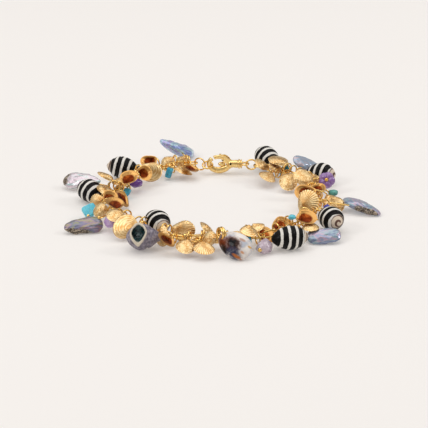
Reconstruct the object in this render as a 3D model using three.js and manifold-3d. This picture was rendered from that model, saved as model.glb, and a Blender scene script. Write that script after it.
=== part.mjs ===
// Charm anklet: a gold cable chain closed by a lobster claw, hung all round with gold fan shells,
// banded snail shells, baroque pearls and coloured stones on jump rings. Millimetres, +Z up.
// The anklet lies on a surface at z = 0 as a round loop about the Z axis, claw at the back (+Y).
import * as THREE from "three";
import { mergeVertices } from "three/addons/utils/BufferGeometryUtils.js";
import Module from "manifold-3d";

const wasm = await Module();
wasm.setup();

// ---- driving dimensions -------------------------------------------------------------------
const LOOP_RADIUS = 38; // from the Z axis to the chain's centre line: a loop of about 240 mm
const CHAIN_HEIGHT = 3.6; // the chain's centre line above the surface
const FIRST_STATION = 105; // degrees round from +X: where the chain starts, left of the claw
const LAST_STATION = 422.5; // where it ends, right of the claw
const LINK_COUNT = 45;
const LINK_STEP = (LAST_STATION - FIRST_STATION) / (LINK_COUNT - 1);
const LINK_PITCH = 2 * LOOP_RADIUS * Math.sin(THREE.MathUtils.degToRad(LINK_STEP / 2));
const LINK_WIRE = 0.35; // wire radius of a link
const LINK_HALF_WIDTH = 1.2; // to the wire's centre
const LINK_BITE = 0.06; // how far neighbouring wires press into each other where they are joined
const LINK_HALF_LENGTH = LINK_PITCH / 2 + LINK_WIRE - LINK_BITE / 2;
const RING_RADIUS = 2; // a charm's jump ring, to the wire's centre
const RING_WIRE = 0.3;
const RING_PLAY = 0.1; // clearance between a jump ring and the link that it hangs on
const RING_OFFSET = RING_RADIUS - RING_WIRE - LINK_WIRE - RING_PLAY; // link wire to ring centre
const PIN_WIRE = 0.3; // head pins that carry pearls and stones
const ROUND = 10; // sides of links, rings and round shells
const WIRE_SIDES = 5;

const FINISH = {
  gold: { color: 0xd9b36a, roughness: 0.32, metalness: 1 },
  brightGold: { color: 0xe6b84c, roughness: 0.18, metalness: 1 },
  banded: { color: 0x2a2724, roughness: 0.35, metalness: 0 },
  spotted: { color: 0xb9b2ad, roughness: 0.15, metalness: 0 },
  turban: { color: 0x77737f, roughness: 0.45, metalness: 0 },
  pearl: { color: 0x9aa0bd, roughness: 0.25, metalness: 0.2 },
  amethyst: { color: 0x9a6fc0, roughness: 0.2, metalness: 0 },
  turquoise: { color: 0x3fb6cf, roughness: 0.4, metalness: 0 },
  lapis: { color: 0x26379b, roughness: 0.35, metalness: 0 },
};

const rad = THREE.MathUtils.degToRad;

// ---- solids -------------------------------------------------------------------------------
function merged(geometry) {
  const bare = geometry.clone();
  bare.deleteAttribute("normal");
  bare.deleteAttribute("uv");
  return mergeVertices(bare, 1e-4);
}

function toSolid(geometry) {
  const g = merged(geometry);
  const mesh = new wasm.Mesh({
    numProp: 3,
    vertProperties: g.attributes.position.array,
    triVerts: new Uint32Array(g.index.array),
  });
  return new wasm.Manifold(mesh);
}

function toGeometry(solid) {
  const mesh = solid.getMesh();
  const points = new Float32Array(mesh.numVert * 3);
  for (let i = 0; i < mesh.numVert; i++)
    points.set(mesh.vertProperties.subarray(i * mesh.numProp, i * mesh.numProp + 3), i * 3);
  const geometry = new THREE.BufferGeometry();
  geometry.setAttribute("position", new THREE.BufferAttribute(points, 3));
  geometry.setIndex(new THREE.BufferAttribute(mesh.triVerts, 1));
  return geometry;
}

function fused(geometries) {
  return toGeometry(geometries.map(toSolid).reduce((whole, next) => whole.add(next)));
}

// Moves every vertex of a geometry by a function that changes the vector it is given.
function shaped(geometry, move) {
  const g = merged(geometry);
  const place = g.attributes.position;
  const v = new THREE.Vector3();
  for (let i = 0; i < place.count; i++) {
    v.fromBufferAttribute(place, i);
    move(v);
    place.setXYZ(i, v.x, v.y, v.z);
  }
  return g;
}

function named(name, geometry, finish) {
  const mesh = new THREE.Mesh(geometry, new THREE.MeshStandardMaterial(FINISH[finish]));
  mesh.name = name;
  return mesh;
}

// ---- the chain ----------------------------------------------------------------------------
const station = (link) => FIRST_STATION + link * LINK_STEP;
const isFlat = (link) => link % 2 === 0;

// One oval link about the origin, its length along Y, flat in the XY plane.
function ovalLink() {
  const straight = LINK_HALF_LENGTH - LINK_HALF_WIDTH;
  const ring = new THREE.TorusGeometry(LINK_HALF_WIDTH, LINK_WIRE, WIRE_SIDES, ROUND);
  return shaped(ring, (v) => {
    v.y += straight * Math.tanh(4 * v.y);
  });
}

function linkFrame(link) {
  const frame = new THREE.Matrix4().makeRotationZ(rad(station(link)));
  frame.multiply(new THREE.Matrix4().makeTranslation(LOOP_RADIUS, 0, CHAIN_HEIGHT));
  return frame;
}

function chain() {
  const links = [];
  for (let i = 0; i < LINK_COUNT; i++) {
    const link = ovalLink();
    if (!isFlat(i)) link.rotateY(Math.PI / 2);
    links.push(link.applyMatrix4(linkFrame(i)));
  }
  return named("chain", fused(links), "gold");
}

// ---- charm bodies: long axis along X, face normal along Z, centred on the origin ----------
// A thin domed shell, its outer face to +Z, held by the hinge corner at -X.
function fanShell({ radius = 3.7, dome = 1.3 }) {
  const wall = 0.7;
  const profile = [
    [0, dome - wall],
    [radius, 0],
    [0.62 * radius, 0.68 * dome],
    [0, dome],
  ];
  const lathe = new THREE.LatheGeometry(
    profile.map(([r, h]) => new THREE.Vector2(r, h)),
    ROUND,
    Math.PI / ROUND,
  );
  lathe.rotateX(Math.PI / 2);
  return shaped(lathe, (v) => {
    const hinge = Math.max(0, -v.x / radius) ** 4;
    v.y *= 1 - 0.3 * hinge;
    v.x *= 1 + 0.1 * hinge;
    v.z -= dome / 3;
  });
}

// A snail shell, spire towards +X, narrow mouth end towards -X.
function snailShell({ length = 12.5, girth = 8.6 }) {
  const profile = [
    [0, -0.5],
    [0.4, -0.42],
    [0.84, -0.18],
    [1, 0.06],
    [0.7, 0.32],
    [0, 0.5],
  ];
  const lathe = new THREE.LatheGeometry(
    profile.map(([r, h]) => new THREE.Vector2((r * girth) / 2, h * length)),
    ROUND,
  );
  lathe.rotateZ(-Math.PI / 2);
  return shaped(lathe, (v) => {
    v.y *= 1 + 0.4 * Math.max(0, -v.x / length);
  });
}

// A flat baroque pearl: a squashed sphere whose outline is pulled into lobes.
function pearl({ length = 13, width = 7, thick = 3.4, waist = 0, bow = 0, taper = 0 }) {
  const ball = new THREE.SphereGeometry(1, ROUND, 5);
  ball.rotateZ(Math.PI / 2);
  return shaped(ball, (v) => {
    const along = v.x;
    const narrow = 1 - waist * Math.exp(-12 * along * along) - taper * along;
    v.x *= length / 2;
    v.y = (v.y * width * narrow) / 2 + bow * width * (along * along - 0.4);
    v.z *= (thick * (1 - 0.25 * taper * along)) / 2;
  });
}

// An uneven pebble from a regular solid, each corner moved by a smooth uneven rule.
function nugget({ size = [5, 4, 3.5], rough = 0.18, detail = 0, seed = 1 }) {
  const base = new THREE.IcosahedronGeometry(0.5, detail);
  base.rotateZ(Math.atan2(1, (1 + Math.sqrt(5)) / 2) + Math.PI / 2);
  return shaped(base, (v) => {
    const uneven = 1 + rough * Math.sin(7 * v.x + 5 * v.y * seed + 9 * v.z + seed);
    v.multiplyScalar(1.08 * uneven);
    v.x *= size[0];
    v.y *= size[1];
    v.z *= size[2];
  });
}

// A squarish flat chip, or a cube when its three sizes are alike.
function chip({ size = [5, 4.5, 1.8], skew = 0.2 }) {
  const box = new THREE.BoxGeometry(1, 1, 1);
  return shaped(box, (v) => {
    const wide = 1 + skew * v.x;
    v.x = size[0] * (v.x + 0.25 * skew * v.y);
    v.y *= size[1] * wide;
    v.z *= size[2] * (1 - 0.4 * Math.abs(skew) * v.x);
  });
}

// A short tube bead along X.
function tubeBead({ length = 4, width = 2.6 }) {
  const tube = new THREE.CylinderGeometry(width / 2, width / 2, length, ROUND);
  tube.rotateZ(Math.PI / 2);
  return tube;
}

// A flower bead: five round petals about the Z axis.
function flowerBead({ width = 6.4, thick = 3 }) {
  const ball = new THREE.SphereGeometry(1, ROUND, 4);
  ball.rotateX(Math.PI / 2);
  return shaped(ball, (v) => {
    const turn = Math.atan2(v.y, v.x);
    const petal = 0.88 + 0.12 * Math.cos(5 * turn);
    v.x *= (petal * width) / 2;
    v.y *= (petal * width) / 2;
    v.z *= thick / 2;
  });
}

// A glossy egg-shaped shell with a flattened base on -Z, blunt end at +X.
function cowrie({ length = 13.2, width = 9.2, thick = 6 }) {
  const ball = new THREE.SphereGeometry(1, ROUND, 6);
  ball.rotateZ(Math.PI / 2);
  return shaped(ball, (v) => {
    const taper = 1 + 0.16 * v.x;
    v.x *= length / 2;
    v.y *= (width / 2) * taper;
    v.z *= (v.z < 0 ? 0.7 : 1) * (thick / 2) * taper;
  });
}

// A squat turban shell: a cone of whorls towards +X with a lipped, open mouth on its side.
function turbanShell({ length = 12.4, girth = 9.4, spin = 60 }) {
  const profile = [
    [0, -0.5],
    [0.6, -0.44],
    [1, -0.12],
    [0.78, 0.1],
    [0.4, 0.32],
    [0, 0.5],
  ];
  const body = new THREE.LatheGeometry(
    profile.map(([r, h]) => new THREE.Vector2((r * girth) / 2, h * length)),
    ROUND,
  );
  body.rotateZ(-Math.PI / 2);
  const mouthAt = [-0.17 * length, 0, 0.4 * girth];
  const lip = new THREE.CylinderGeometry(0.31 * girth, 0.36 * girth, 1.3, ROUND);
  lip.rotateX(Math.PI / 2);
  lip.scale(0.8, 1.15, 1);
  lip.translate(...mouthAt);
  const mouth = new THREE.SphereGeometry(0.25 * girth, ROUND, 4);
  mouth.scale(0.8, 1.15, 1.1);
  mouth.translate(...mouthAt);
  const shell = toGeometry(toSolid(body).add(toSolid(lip)).subtract(toSolid(mouth)));
  return shell.rotateX(rad(spin));
}

const KINDS = {
  fan: { make: fanShell, finish: "gold", reach: 4.0 },
  snail: { make: snailShell, finish: "banded", reach: 6 },
  pearl: { make: pearl, finish: "pearl", reach: 8, pin: true },
  amethyst: { make: nugget, finish: "amethyst", reach: 3 },
  flower: { make: flowerBead, finish: "amethyst", reach: 3 },
  turquoise: { make: nugget, finish: "turquoise", reach: 2.6 },
  chip: { make: chip, finish: "turquoise", reach: 2.6 },
  tube: { make: tubeBead, finish: "turquoise", reach: 2 },
  lapis: { make: nugget, finish: "lapis", reach: 1.6 },
  cowrie: { make: cowrie, finish: "spotted", reach: 6.4 },
  turban: { make: turbanShell, finish: "turban", reach: 3.9 },
};

// ---- the charms ---------------------------------------------------------------------------
// link: the chain link that the jump ring hangs on, counted from the claw; along: where on it, mm
// side: which way the ring leaves the link, degrees: 0 outward, 90 up, 180 into the loop
// swing: the hang direction in plan, degrees from straight outward; dip: degrees down
// roll: the body turned about its hang direction; turn: its long axis off that direction
// reach: from the ring's far side to the body's middle; pin: on a head pin; form: its own sizes
// A charm without a dip drops until it rests on the surface.
const CHARMS = [
  { name: "shell_striped_1", kind: "snail", link: 4, along: 0.9, side: 0, swing: 40 },
  { name: "shell_striped_2", kind: "snail", link: 10, side: 0, swing: -40 },
  { name: "shell_striped_3", kind: "snail", link: 17, along: -0.9, side: 160, swing: 155, turn: -85,
    reach: 4.2 },
  { name: "shell_striped_4", kind: "snail", link: 28, along: -0.9, side: 20, swing: -20, turn: 88,
    reach: 4, form: { length: 13.6 } },
  { name: "shell_striped_5", kind: "snail", link: 32, side: 20, swing: -40, dip: -5, reach: 6 },
  { name: "shell_striped_6", kind: "snail", link: 40, side: 0, swing: -30, turn: -30, reach: 5 },
  { name: "shell_striped_7", kind: "snail", link: 43, side: 0, swing: 70, dip: -5 },
  { name: "pearl_1", kind: "pearl", link: 0, side: 0, swing: 5, roll: 30, turn: 105, reach: 10.5,
    form: { length: 17, width: 7, waist: 0.2, bow: -0.3 } },
  { name: "pearl_2", kind: "pearl", link: 8, side: 0, swing: -10, dip: 0, roll: -30, turn: 10, reach: 11.8,
    form: { length: 16, width: 7, taper: -0.35 } },
  { name: "pearl_3", kind: "pearl", link: 14, along: -0.9, side: 20, swing: 5, roll: -30,
    turn: -20, reach: 10.5,
    form: { length: 14, width: 6.5, taper: 0.2 } },
  { name: "pearl_4", kind: "pearl", link: 30, along: 0.9, side: 40, swing: -15, roll: 20, turn: 60,
    reach: 9,
    form: { length: 12, width: 6.5 } },
  { name: "pearl_5", kind: "pearl", link: 34, side: 20, swing: 20, roll: 5, turn: -40, reach: 12.6,
    form: { length: 15.5, width: 7, taper: 0.2 } },
  { name: "pearl_6", kind: "pearl", link: 41, side: 0, swing: 10, dip: 5, roll: 40, turn: -40, reach: 7.5,
    form: { length: 14, width: 7 } },
  { name: "turquoise_1", kind: "tube", link: 2, along: 0.9, side: 160, swing: 90, dip: 70 },
  { name: "turquoise_2", kind: "turquoise", link: 8, side: 180, swing: 40, dip: 30,
    form: { size: [5, 4.4, 3.4] } },
  { name: "turquoise_3", kind: "chip", link: 12, along: 0.9, side: 0, swing: 5, dip: 5, roll: -40,
    turn: 20, reach: 4.5, pin: true, form: { size: [5.2, 4.6, 1.8] } },
  { name: "turquoise_4", kind: "chip", link: 25, side: 10, swing: -10, dip: 60, reach: 1.5,
    form: { size: [3, 2.8, 2.8], skew: 0 } },
  { name: "turquoise_6", kind: "turquoise", link: 36, along: -0.9, side: 20, swing: -15, dip: -10,
    reach: 1.6,
    form: { size: [3.8, 3.2, 2.6] } },
  { name: "turquoise_7", kind: "chip", link: 42, side: 10, swing: 105, dip: 40, reach: 2.2,
    form: { size: [4.4, 3, 2.4] } },
  { name: "lapis_1", kind: "lapis", link: 33, along: 0.9, side: 10, swing: -40, dip: 15,
    form: { size: [3.2, 2.8, 2.4] } },
  { name: "amethyst_1", kind: "amethyst", link: 7, along: 0.9, side: 180, swing: -105, dip: 20,
    form: { size: [6.4, 4.4, 4] } },
  { name: "amethyst_2", kind: "amethyst", link: 15, along: -0.9, side: 0, swing: -20, dip: 20, reach: 2.5,
    form: { size: [5.6, 5.2, 4.6] } },
  { name: "amethyst_3", kind: "amethyst", link: 26, along: -0.9, side: 0, swing: 15, reach: 2.8,
    form: { size: [5.6, 6.2, 4.8] } },
  { name: "amethyst_4", kind: "flower", link: 38, side: 45, swing: -30, dip: 3, roll: 60, reach: 2.8 },
  { name: "shell_cowrie", kind: "cowrie", link: 23, along: 0.9, side: 20, swing: 55, roll: 50 },
  { name: "shell_turban", kind: "turban", link: 18, side: 5, swing: 35, turn: 90,
    form: { length: 13.4 } },
  { name: "fan_1", kind: "fan", link: 1, along: 0.9, side: 15, swing: 90, dip: 43, roll: -45, reach: 3.2,
    form: { radius: 3.1 } },
  { name: "fan_2", kind: "fan", link: 2, along: -0.9, side: 165, swing: -120, dip: 19, roll: -5,
    reach: 3.7,
    form: { radius: 3.6 } },
  { name: "fan_4", kind: "fan", link: 5, side: 120, swing: -150, dip: 27, roll: 55, reach: 4.2,
    form: { radius: 4.1 } },
  { name: "fan_6", kind: "fan", link: 9, along: -0.9, side: 150, swing: -120, dip: -29, roll: -165,
    reach: 3.5,
    form: { radius: 3.4 } },
  { name: "fan_7", kind: "fan", link: 9, side: 75, swing: -30, dip: -21, roll: 20, reach: 3.5,
    form: { radius: 3.4 } },
  { name: "fan_8", kind: "fan", link: 10, along: -0.9, side: 180, swing: 75, dip: -5, roll: 125,
    reach: 3.9,
    form: { radius: 3.8 } },
  { name: "fan_9", kind: "fan", link: 14, along: 0.9, side: 75, swing: -105, dip: -13, roll: -165,
    reach: 3.8,
    form: { radius: 3.7 } },
  { name: "fan_12", kind: "fan", link: 17, along: 0.9, side: 0, swing: -60, dip: -5, roll: -55, reach: 4.7,
    form: { radius: 4.6 } },
  { name: "fan_13", kind: "fan", link: 19, side: 60, swing: 15, dip: 67, roll: 30, reach: 3.7,
    form: { radius: 3.6 } },
  { name: "fan_14", kind: "fan", link: 19, along: 0.9, side: 180, swing: 120, dip: 11, roll: 45,
    reach: 4.3,
    form: { radius: 4.2 } },
  { name: "fan_15", kind: "fan", link: 21, side: 0, dip: 19, roll: -5, reach: 3.6,
    form: { radius: 3.5 } },
  { name: "fan_16", kind: "fan", link: 22, along: -0.9, side: 15, swing: 30, dip: 11, reach: 3.8,
    form: { radius: 3.7 } },
  { name: "fan_17", kind: "fan", link: 22, side: 105, swing: 165, dip: 19, roll: 35, reach: 3.7,
    form: { radius: 3.6 } },
  { name: "fan_18", kind: "fan", link: 24, along: -0.9, side: 180, swing: 60, dip: 11, roll: 30,
    reach: 3.3,
    form: { radius: 3.2 } },
  { name: "fan_19", kind: "fan", link: 26, along: 0.9, side: 180, swing: 60, dip: 19, roll: -160,
    reach: 3.9,
    form: { radius: 3.8 } },
  { name: "fan_20", kind: "fan", link: 28, side: 180, swing: 75, dip: 11, roll: -145, reach: 4.5,
    form: { radius: 4.4 } },
  { name: "fan_22", kind: "fan", link: 29, along: 0.9, side: 45, swing: 60, dip: -5, roll: -155,
    reach: 3.55,
    form: { radius: 3.6 } },
  { name: "fan_23", kind: "fan", link: 32, along: -0.9, side: 150, swing: 60, dip: -37, roll: 35,
    reach: 4.3,
    form: { radius: 4.2 } },
  { name: "fan_24", kind: "fan", link: 35, side: 15, swing: -45, dip: 35, roll: 25, reach: 4.1,
    form: { radius: 4 } },
  { name: "fan_25", kind: "fan", link: 35, along: -0.9, side: 120, swing: -165, dip: 11, roll: 145,
    reach: 3.5,
    form: { radius: 3.8 } },
  { name: "fan_26", kind: "fan", link: 40, along: -0.9, side: 120, swing: -165, dip: 35, roll: -20,
    reach: 3.9,
    form: { radius: 3.8 } },
  { name: "fan_27", kind: "fan", link: 42, along: 0.9, side: 180, swing: -165, dip: -5, roll: -20,
    reach: 3.8,
    form: { radius: 3.7 } },
  { name: "fan_28", kind: "fan", link: 41, along: 0.9, side: 120, swing: 90, dip: -13, reach: 4,
    form: { radius: 3.9 } },
];

// The eye: the far side of a charm's jump ring, in its link's frame.
function ringPlace({ link, along = 0, side }) {
  const way = new THREE.Vector3(Math.cos(rad(side)), 0, Math.sin(rad(side)));
  const inward = Math.cos(rad(side)) < -1e-6;
  const wire = isFlat(link)
    ? new THREE.Vector3(inward ? -LINK_HALF_WIDTH : LINK_HALF_WIDTH, along, 0)
    : new THREE.Vector3(0, along, LINK_HALF_WIDTH);
  const centre = wire.clone().addScaledVector(way, RING_OFFSET);
  const eye = centre.clone().addScaledVector(way, RING_RADIUS);
  return { centre, eye };
}

function jumpRing(centre, side) {
  const ring = merged(new THREE.TorusGeometry(RING_RADIUS, RING_WIRE, WIRE_SIDES, ROUND));
  ring.rotateZ(Math.PI / ROUND);
  ring.rotateX(Math.PI / 2);
  ring.rotateY(-rad(side));
  return ring.translate(centre.x, centre.y, centre.z);
}

// From the eye at the origin, hanging along +X, to the part's frame.
function hangFrame({ link, swing = 0, roll = 0 }, eye, dip) {
  const frame = linkFrame(link);
  frame.multiply(new THREE.Matrix4().makeTranslation(eye.x, eye.y, eye.z));
  frame.multiply(new THREE.Matrix4().makeRotationZ(rad(swing)));
  frame.multiply(new THREE.Matrix4().makeRotationY(rad(dip)));
  return frame.multiply(new THREE.Matrix4().makeRotationX(rad(roll)));
}

function lowest(geometry, frame) {
  const place = geometry.attributes.position;
  const v = new THREE.Vector3();
  let low = Infinity;
  for (let i = 0; i < place.count; i++)
    low = Math.min(low, v.fromBufferAttribute(place, i).applyMatrix4(frame).z);
  return low;
}

// How far a charm drops before it touches the surface, by halving the range of its dip.
function restingDip(row, body, eye) {
  let high = -50;
  let low = 70;
  for (let step = 0; step < 40; step++) {
    const dip = (high + low) / 2;
    if (lowest(body, hangFrame(row, eye, dip)) > 0) high = dip;
    else low = dip;
  }
  return high;
}

function charm(row) {
  const kind = KINDS[row.kind];
  const { centre, eye } = ringPlace(row);
  const reach = row.reach ?? kind.reach;
  const body = kind.make(row.form ?? {});
  body.rotateZ(rad(row.turn ?? 0));
  body.translate(reach, 0, 0);
  const hang = hangFrame(row, eye, row.dip ?? restingDip(row, body, eye));
  const parts = [body.applyMatrix4(hang)];
  if (row.pin ?? kind.pin) {
    const pin = merged(new THREE.CylinderGeometry(PIN_WIRE, PIN_WIRE, reach, WIRE_SIDES));
    pin.rotateZ(Math.PI / 2);
    pin.translate(reach / 2, 0, 0);
    parts.push(pin.applyMatrix4(hang));
  }
  parts.push(jumpRing(centre, row.side).applyMatrix4(linkFrame(row.link)));
  return named(row.name, fused(parts), kind.finish);
}

// ---- the claw and its rings ------------------------------------------------------------------
const CLAW = { x: 1.3, y: 34.6, z: 4.2 }; // the middle of the claw's hoop
const HOOP = { halfLength: 3.95, halfHeight: 2.85, wire: 1.05 }; // in its own upright XZ plane
const HOOK_DEEPER = 0.8; // how much deeper the hook is inwards next to the neck
const HOOK_SLIMMER = 0.22; // how much slimmer it is where the rings hook on
const HOOK_TIP = 130; // degrees round the hoop from the neck, over the top
const LEVER_TIP = 122;
const LEVER_PIVOT = 60;
const LEVER_ROOT = 49;
const HOOP_END = 30; // the hoop's fixed part stops here, short of the lever's root
const LEVER_WIRE = 0.85;
const LEVER_HALF_DEPTH = 0.5;
const CHEEK = { halfLength: 1.9, halfHeight: 1.05, thick: 0.4, at: 1 }; // a plate each side
const HINGE_PIN = 0.25;
const PIN_HOLE = 0.5;
const HINGE_SIDES = 6;

class HoopArc extends THREE.Curve {
  constructor(from, to) {
    super();
    this.from = rad(from);
    this.to = rad(to);
  }
  getPoint(t) {
    const turn = this.from + (this.to - this.from) * t;
    return new THREE.Vector3(
      HOOP.halfLength * Math.cos(turn),
      0,
      HOOP.halfHeight * Math.sin(turn),
    );
  }
}

function section(radius, sides) {
  const points = [];
  for (let i = 0; i < sides; i++) {
    const turn = (2 * Math.PI * (i + 0.5)) / sides;
    points.push(new THREE.Vector2(radius * Math.cos(turn), radius * Math.sin(turn)));
  }
  return new THREE.Shape(points);
}

function hoopArc(from, to, radius, steps) {
  return new THREE.ExtrudeGeometry(section(radius, 6), {
    steps,
    bevelEnabled: false,
    extrudePath: new HoopArc(from, to),
  });
}

const hoopPoint = (turn) => new HoopArc(turn, turn).getPoint(0);
const pivot = hoopPoint(LEVER_PIVOT);

function pinAcross(radius, length) {
  const pin = new THREE.CylinderGeometry(radius, radius, length, HINGE_SIDES);
  return pin.translate(pivot.x, 0, pivot.z);
}

// A plate beside the lever, from the hinge pin down to the fixed end of the hoop.
function cheek(y) {
  const foot = hoopPoint(HOOP_END);
  const plate = new THREE.CylinderGeometry(1, 1, CHEEK.thick, HINGE_SIDES);
  plate.scale(CHEEK.halfLength, 1, CHEEK.halfHeight);
  plate.rotateY(Math.atan2(pivot.z - foot.z, foot.x - pivot.x));
  return plate.translate((pivot.x + foot.x) / 2, y, (pivot.z + foot.z) / 2);
}

function clawBody() {
  const hook = shaped(hoopArc(HOOK_TIP, 360 + HOOP_END, HOOP.wire, 9), (v) => {
    const turn = Math.atan2(v.z / HOOP.halfHeight, v.x / HOOP.halfLength);
    const x = HOOP.halfLength * Math.cos(turn);
    const z = HOOP.halfHeight * Math.sin(turn);
    const slim = 1 - HOOK_SLIMMER * Math.max(0, -Math.cos(turn));
    const inwards = (v.x - x) * Math.cos(turn) + (v.z - z) * Math.sin(turn) < 0;
    const deep = inwards ? slim * (1 + HOOK_DEEPER * Math.max(0, Math.cos(turn)) ** 2) : slim;
    v.set(x + (v.x - x) * deep, v.y * slim, z + (v.z - z) * deep);
  });
  const neck = new THREE.LatheGeometry(
    [
      [0, 3.4],
      [1.9, 4.4],
      [1.4, 5.4],
      [1.75, 8.2],
      [0, 9.2],
    ].map(([r, h]) => new THREE.Vector2(r, h)),
    ROUND,
  );
  neck.rotateZ(-Math.PI / 2);
  const eye = new THREE.TorusGeometry(1.4, 0.4, WIRE_SIDES, ROUND);
  eye.translate(10.1, 0, 0);
  const parts = [hook, neck, eye, pinAcross(HINGE_PIN, 2 * CHEEK.at)];
  for (const y of [-CHEEK.at, CHEEK.at]) parts.push(cheek(y));
  return named("clasp_body", fused(parts), "brightGold");
}

function clawLever() {
  const arm = shaped(hoopArc(LEVER_ROOT, LEVER_TIP, LEVER_WIRE, 4), (v) => {
    v.y = THREE.MathUtils.clamp(v.y, -LEVER_HALF_DEPTH, LEVER_HALF_DEPTH);
  });
  const thumb = new THREE.BoxGeometry(0.9, 0.9, 1);
  thumb.translate(0.6, 0, HOOP.halfHeight + 0.75);
  const whole = toSolid(arm).add(toSolid(thumb)).subtract(toSolid(pinAcross(PIN_HOLE, 4)));
  return named("clasp_lever", toGeometry(whole), "brightGold");
}

function looseRing(name, { radius, wire, at, about = [0, 0, 0] }) {
  const ring = new THREE.TorusGeometry(radius, wire, WIRE_SIDES, ROUND);
  const mesh = named(name, merged(ring), "brightGold");
  mesh.rotation.set(...about.map(rad), "ZYX");
  mesh.position.set(...at);
  return mesh;
}

// Each ring lies in its own XY plane before it is turned about X, Y and Z.
const RINGS = [
  { name: "hook_ring", radius: 1.95, wire: 0.33, at: [-3.05, 34.6, 3.7], about: [25, 0, 0] },
  { name: "side_ring", radius: 2.38, wire: 0.28, at: [-6.08, 35.93, 3.6], about: [90, 0, -31] },
  { name: "end_ring", radius: 2, wire: 0.33, at: [13.97, 34.56, 3.9], about: [90, 0, 0] },
];

function claw() {
  const group = new THREE.Group();
  group.add(clawBody(), clawLever());
  group.position.set(CLAW.x, CLAW.y, CLAW.z);
  return group;
}

// ---- the whole anklet ---------------------------------------------------------------------
const loop = new THREE.Group();
loop.add(chain(), claw());
for (const ring of RINGS) loop.add(looseRing(ring.name, ring));
for (const row of CHARMS) loop.add(charm(row));

// The middle of the whole outline goes over the origin.
const outline = new THREE.Box3().setFromObject(loop, true);
const middle = outline.getCenter(new THREE.Vector3());
loop.position.set(-middle.x, -middle.y, 0);

const anklet = new THREE.Group();
anklet.add(loop);

export default anklet;
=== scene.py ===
# %% [markdown]
# # A charm anklet of shells, pearls and stones
# The anklet is a gold cable chain, closed at the back by a lobster claw. All round it hang thin
# gold fan shells, black and white banded snail shells, flat baroque pearls and small stones,
# each on its own jump ring. Only the claw's lever moves, so every other piece rides on the body
# "anklet". The solids that MuJoCo tests give each charm its place and size, and each finished
# piece here stands in the space of the solid that it replaces.

# %% Open the frame
import math

import bmesh
import bpy
import numpy as np
from mathutils import Matrix, Vector, noise


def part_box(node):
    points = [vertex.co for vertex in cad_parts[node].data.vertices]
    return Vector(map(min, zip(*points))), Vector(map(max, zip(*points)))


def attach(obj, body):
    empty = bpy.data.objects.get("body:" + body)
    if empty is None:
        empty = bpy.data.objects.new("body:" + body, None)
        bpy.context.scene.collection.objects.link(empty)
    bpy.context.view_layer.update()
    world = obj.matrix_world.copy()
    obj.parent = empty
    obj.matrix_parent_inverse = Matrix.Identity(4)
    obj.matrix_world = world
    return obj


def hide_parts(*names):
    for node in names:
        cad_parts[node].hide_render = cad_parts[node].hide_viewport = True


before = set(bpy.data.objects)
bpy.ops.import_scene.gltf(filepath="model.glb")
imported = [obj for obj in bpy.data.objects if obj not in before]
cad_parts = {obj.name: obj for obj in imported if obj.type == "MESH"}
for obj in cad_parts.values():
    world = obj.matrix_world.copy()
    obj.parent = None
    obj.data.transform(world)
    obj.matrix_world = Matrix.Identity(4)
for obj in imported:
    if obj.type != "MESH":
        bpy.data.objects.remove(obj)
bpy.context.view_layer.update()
MM = 0.001

# %% [markdown]
# ## Where everything hangs
# The same few named values place the solids and these pieces. A link of the chain has a frame of
# its own: X points out of the loop, Y runs along the chain and Z points up. The loop's middle
# isn't the middle of the whole outline, so it is read back from the claw's solid.

# %% The loop
LOOP_RADIUS = 38
CHAIN_HEIGHT = 3.6
FIRST_STATION = 105
LAST_STATION = 422.5
LINK_COUNT = 45
LINK_STEP = (LAST_STATION - FIRST_STATION) / (LINK_COUNT - 1)
LINK_PITCH = 2 * LOOP_RADIUS * math.sin(math.radians(LINK_STEP / 2))
LINK_WIRE = 0.35
LINK_HALF_WIDTH = 1.2
LINK_HALF_LENGTH = LINK_PITCH / 2 + LINK_WIRE - 0.03
RING_RADIUS = 2
RING_WIRE = 0.3
RING_OFFSET = RING_RADIUS - RING_WIRE - LINK_WIRE - 0.1
CLAW = Vector((1.3, 34.6, 4.2))
CLAW_REACH = 11.9

claw_low, claw_high = (Vector(corner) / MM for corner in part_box("clasp_body"))
loop_middle = Vector(
    (claw_high.x - CLAW.x - CLAW_REACH, (claw_low.y + claw_high.y) / 2 - CLAW.y, 0)
)
print("the loop's middle is at", loop_middle, "mm")


# %% Frames in millimetres
def turned(degrees, axis):
    return Matrix.Rotation(math.radians(degrees), 4, axis)


def moved(x, y=0, z=0):
    return Matrix.Translation((x, y, z))


LOOP = moved(*loop_middle)


def link_frame(link):
    station = FIRST_STATION + link * LINK_STEP
    return LOOP @ turned(station, "Z") @ moved(LOOP_RADIUS, 0, CHAIN_HEIGHT)


def ring_place(link, along, side):
    """A jump ring's middle and its far side, the eye, in the frame of its link."""
    way = Vector((math.cos(math.radians(side)), 0, math.sin(math.radians(side))))
    if link % 2:
        wire = Vector((0, along, LINK_HALF_WIDTH))
    else:
        wire = Vector((math.copysign(LINK_HALF_WIDTH, way.x + 1e-6), along, 0))
    centre = wire + RING_OFFSET * way
    return centre, centre + RING_RADIUS * way


def hang_frame(row, eye, dip):
    return (
        link_frame(row["link"])
        @ moved(*eye)
        @ turned(row.get("swing", 0), "Z")
        @ turned(dip, "Y")
        @ turned(row.get("roll", 0), "X")
    )


# %% [markdown]
# ## Paint with sums
# A material is a net of nodes. The class Value below wraps one output, so that a pattern can be
# written as arithmetic, and Paint.node adds any other node. Each charm keeps its own millimetre
# coordinates in the attribute "body", so its bands and blotches follow its form wherever it hangs.


# %% Material helpers
def colour(red, green, blue):
    """A colour from its usual 0 to 255 steps."""
    steps = (red / 255, green / 255, blue / 255)
    return tuple(s / 12.92 if s < 0.04 else ((s + 0.055) / 1.055) ** 2.4 for s in steps) + (1,)


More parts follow.
